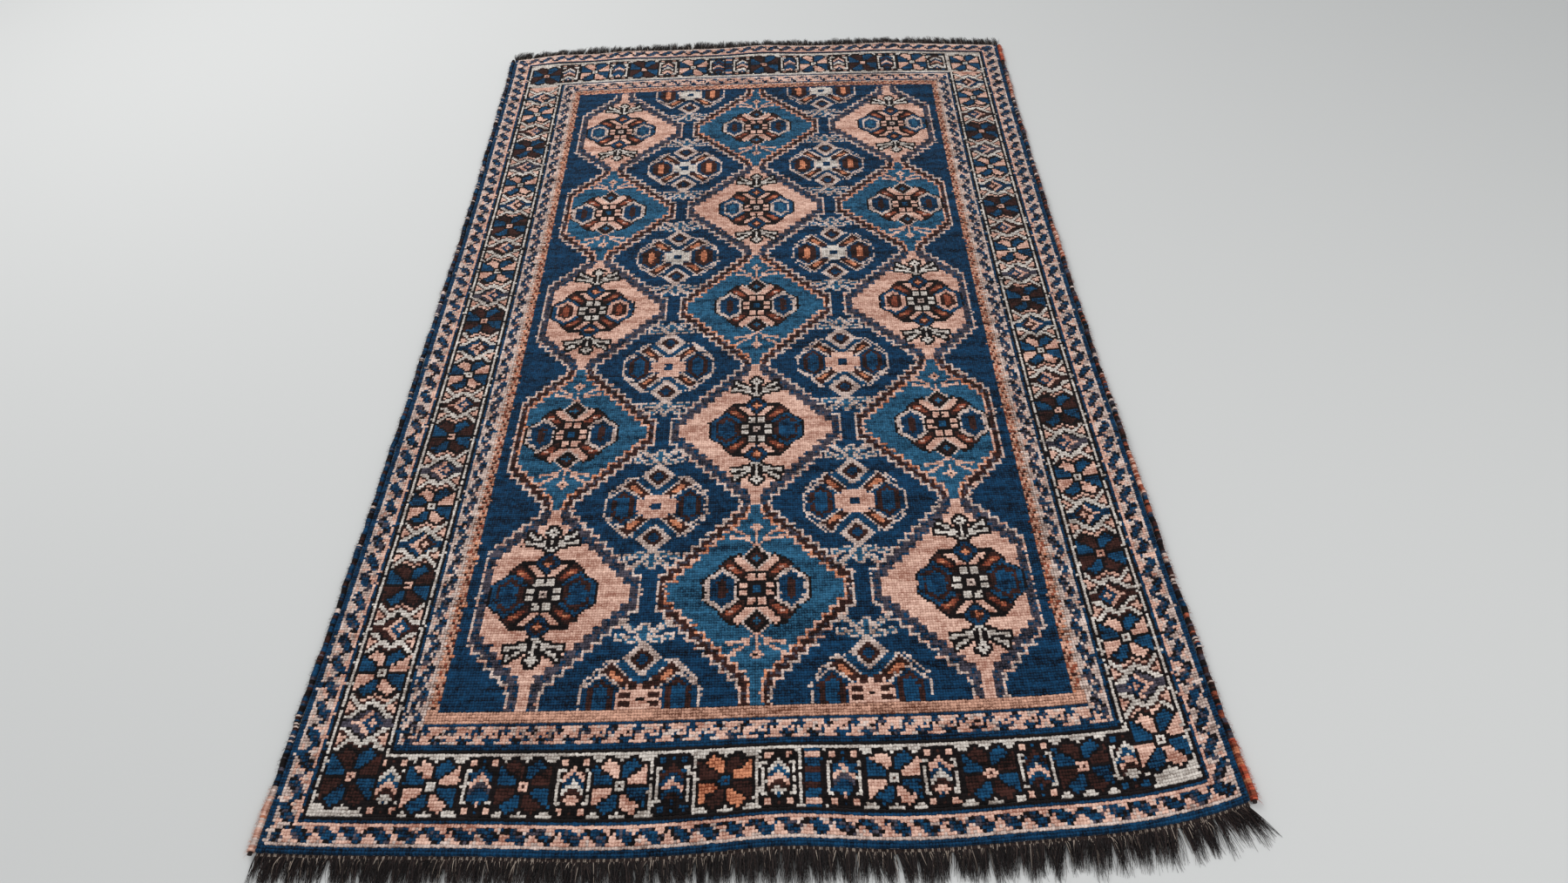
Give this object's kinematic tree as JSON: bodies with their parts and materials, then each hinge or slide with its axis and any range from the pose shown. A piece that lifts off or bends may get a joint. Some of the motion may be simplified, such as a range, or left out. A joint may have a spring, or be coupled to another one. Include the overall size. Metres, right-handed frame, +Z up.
{
  "type": "hand-knotted rug",
  "caption": "Rectangular hand-knotted wool rug with a dark blue field of stepped medallions, patterned borders, overcast long edges and dark fringes at both ends.",
  "frame": {"origin": "middle of the rug's underside, on the floor", "axes": "+Y along the warps towards the far end with the barber-pole stripe, +X across the rug to the right, +Z up through the pile"},
  "size_m": [1.2522, 2.1752, 0.0099],
  "materials": {
    "ground_weave": "matt plain weave of undyed and brown wool",
    "field_pile": "short cut wool pile, soft matt sheen, navy ground with salmon and blue medallions",
    "stripe_pile": "short cut wool pile, salmon and rust",
    "guard_pile": "short cut wool pile, salmon with dark blue leaves",
    "border_pile": "short cut wool pile, salmon and ivory grounds with rosettes",
    "warp_wool": "coarse twisted dark wool, slightly hairy",
    "selvage_wool": "overcast twisted wool, navy with brown and pink stitches",
    "binding_wool": "overcast orange-red wool"
  },
  "bodies": {
    "root": {"ground_weave": "ground_weave", "pile_field": "field_pile", "pile_inner_stripe": "stripe_pile", "pile_inner_guard": "guard_pile", "pile_main_border_left": "border_pile", "pile_main_border_right": "border_pile", "pile_main_border_near": "border_pile", "pile_main_border_far": "border_pile", "pile_outer_guard": "guard_pile", "selvage_core_left": "warp_wool", "selvage_core_right": "warp_wool", "selvage_wrap_left": "selvage_wool", "selvage_wrap_right": "selvage_wool", "corner_binding_near_left": "binding_wool", "corner_binding_near_right": "binding_wool", "corner_binding_far_right": "binding_wool", "end_weave_near": "ground_weave", "end_weave_far": "ground_weave", "fringe_near": "warp_wool", "fringe_far": "warp_wool"}
  },
  "joints": []
}
